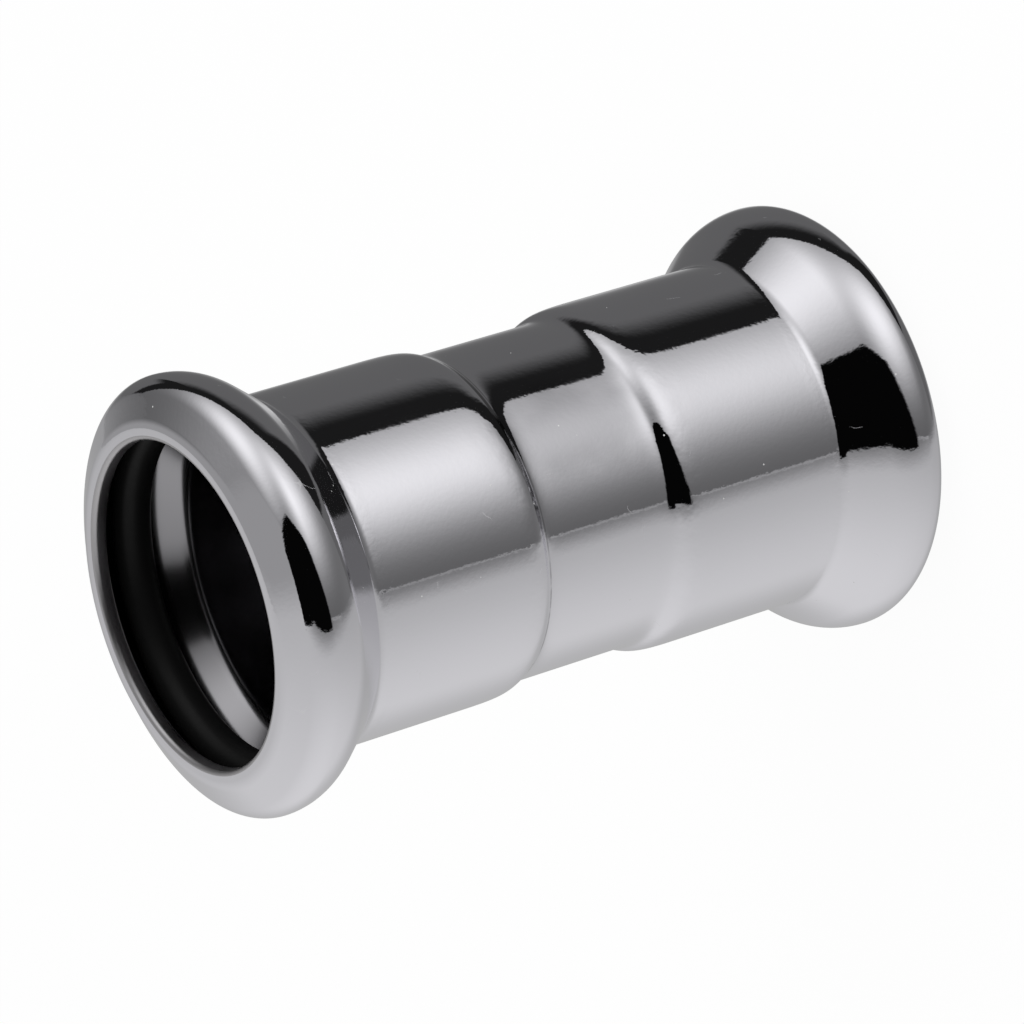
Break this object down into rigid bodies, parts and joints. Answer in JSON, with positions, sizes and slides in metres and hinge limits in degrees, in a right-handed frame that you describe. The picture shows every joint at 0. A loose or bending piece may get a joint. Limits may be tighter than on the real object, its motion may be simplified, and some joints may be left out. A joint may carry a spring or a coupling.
{
  "type": "press fit pipe coupling",
  "caption": "Straight press-fit pipe coupling: bright steel sleeve with a rolled bead and a rubber seal ring at each mouth, a pipe stop inside and a slightly narrower waist.",
  "frame": {"origin": "centre of the plane that the lower mouth's rim stands on", "axes": "+Z along the coupling's axis towards the upper mouth; both ends are alike, and X and Y are any two radii"},
  "size_m": [0.0382, 0.0382, 0.067],
  "materials": {
    "steel": "bright polished steel, close to a mirror, with fine forming lines round the sleeve",
    "rubber": "smooth black moulded rubber with a slight sheen"
  },
  "bodies": {
    "root": {"fitting_body": "steel", "seal_ring_lower": "rubber", "seal_ring_upper": "rubber"}
  },
  "joints": []
}
